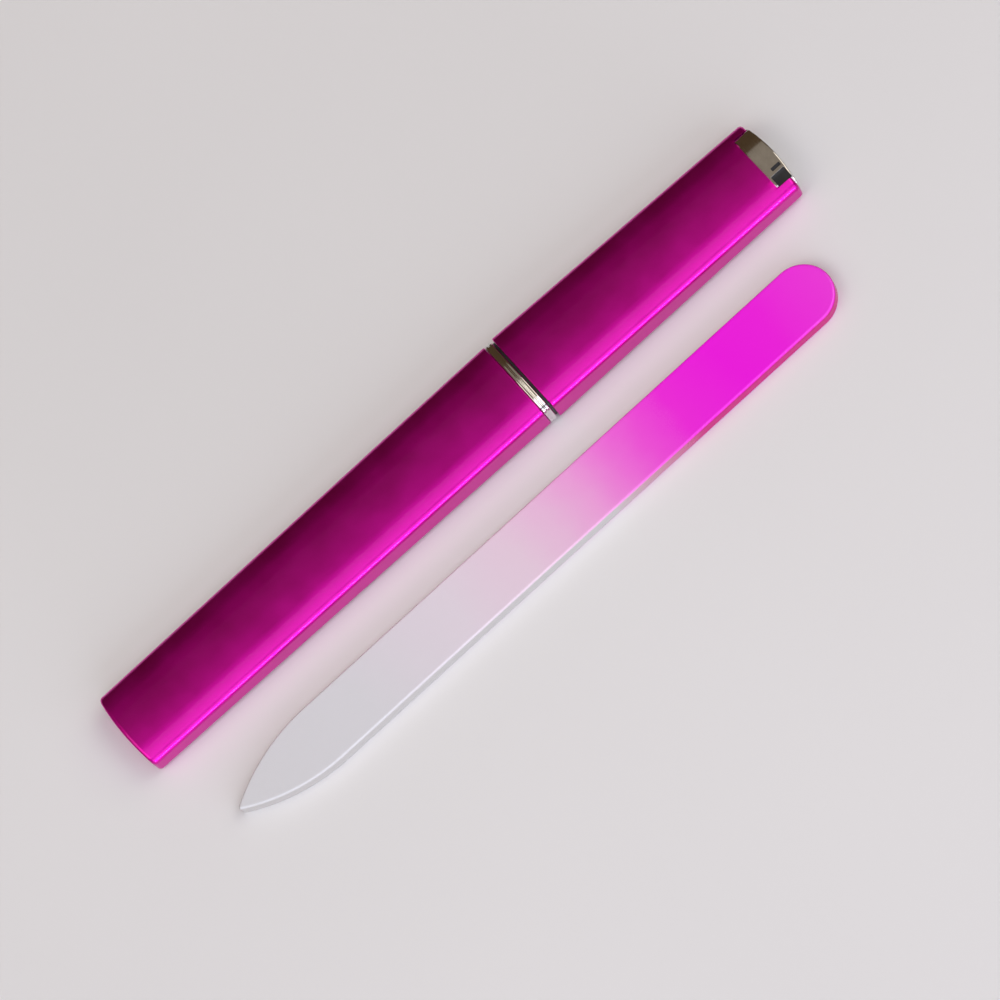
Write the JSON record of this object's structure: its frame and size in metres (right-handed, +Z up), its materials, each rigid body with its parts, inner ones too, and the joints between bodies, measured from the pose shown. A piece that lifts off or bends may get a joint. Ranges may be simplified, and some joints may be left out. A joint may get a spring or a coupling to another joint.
{
  "type": "nail file with case",
  "caption": "Flat glass nail file with a pointed cuticle-pushing tip and a round dyed handle, lying beside its closed push-fit hard case with a bright centre band and end plug.",
  "frame": {"origin": "centre of the bottom of the bounding box of the case and the file together, on the surface they lie on", "axes": "+X along the case from its closed end to the end of its cap, which is also from the file's point to its round handle end within half a degree; +Y from the file towards the case; +Z up from the surface"},
  "size_m": [0.1548, 0.039, 0.0084],
  "materials": {
    "file_glass": "satin",
    "shell_lacquer": "gloss",
    "neck_plastic": "satin",
    "bright_plate": "polished",
    "soft_pad": "matte"
  },
  "bodies": {
    "case_body": {"body_shell": "shell_lacquer", "neck_sleeve": "neck_plastic", "centre_band": "bright_plate", "body_pad": "soft_pad"},
    "cap": {"cap_shell": "shell_lacquer", "cap_end_plug": "bright_plate", "cap_pad": "soft_pad"},
    "file": {"glass_file": "file_glass"}
  },
  "joints": [
    {"name": "cap_slide", "type": "slide", "parent": "case_body", "child": "cap", "axis": [1, 0, 0], "range_m": [0, 0.06]},
    {"name": "file_lift", "type": "slide", "parent": "case_body", "child": "file", "axis": [0, 0, 1], "range_m": [0, 0.05]}
  ]
}
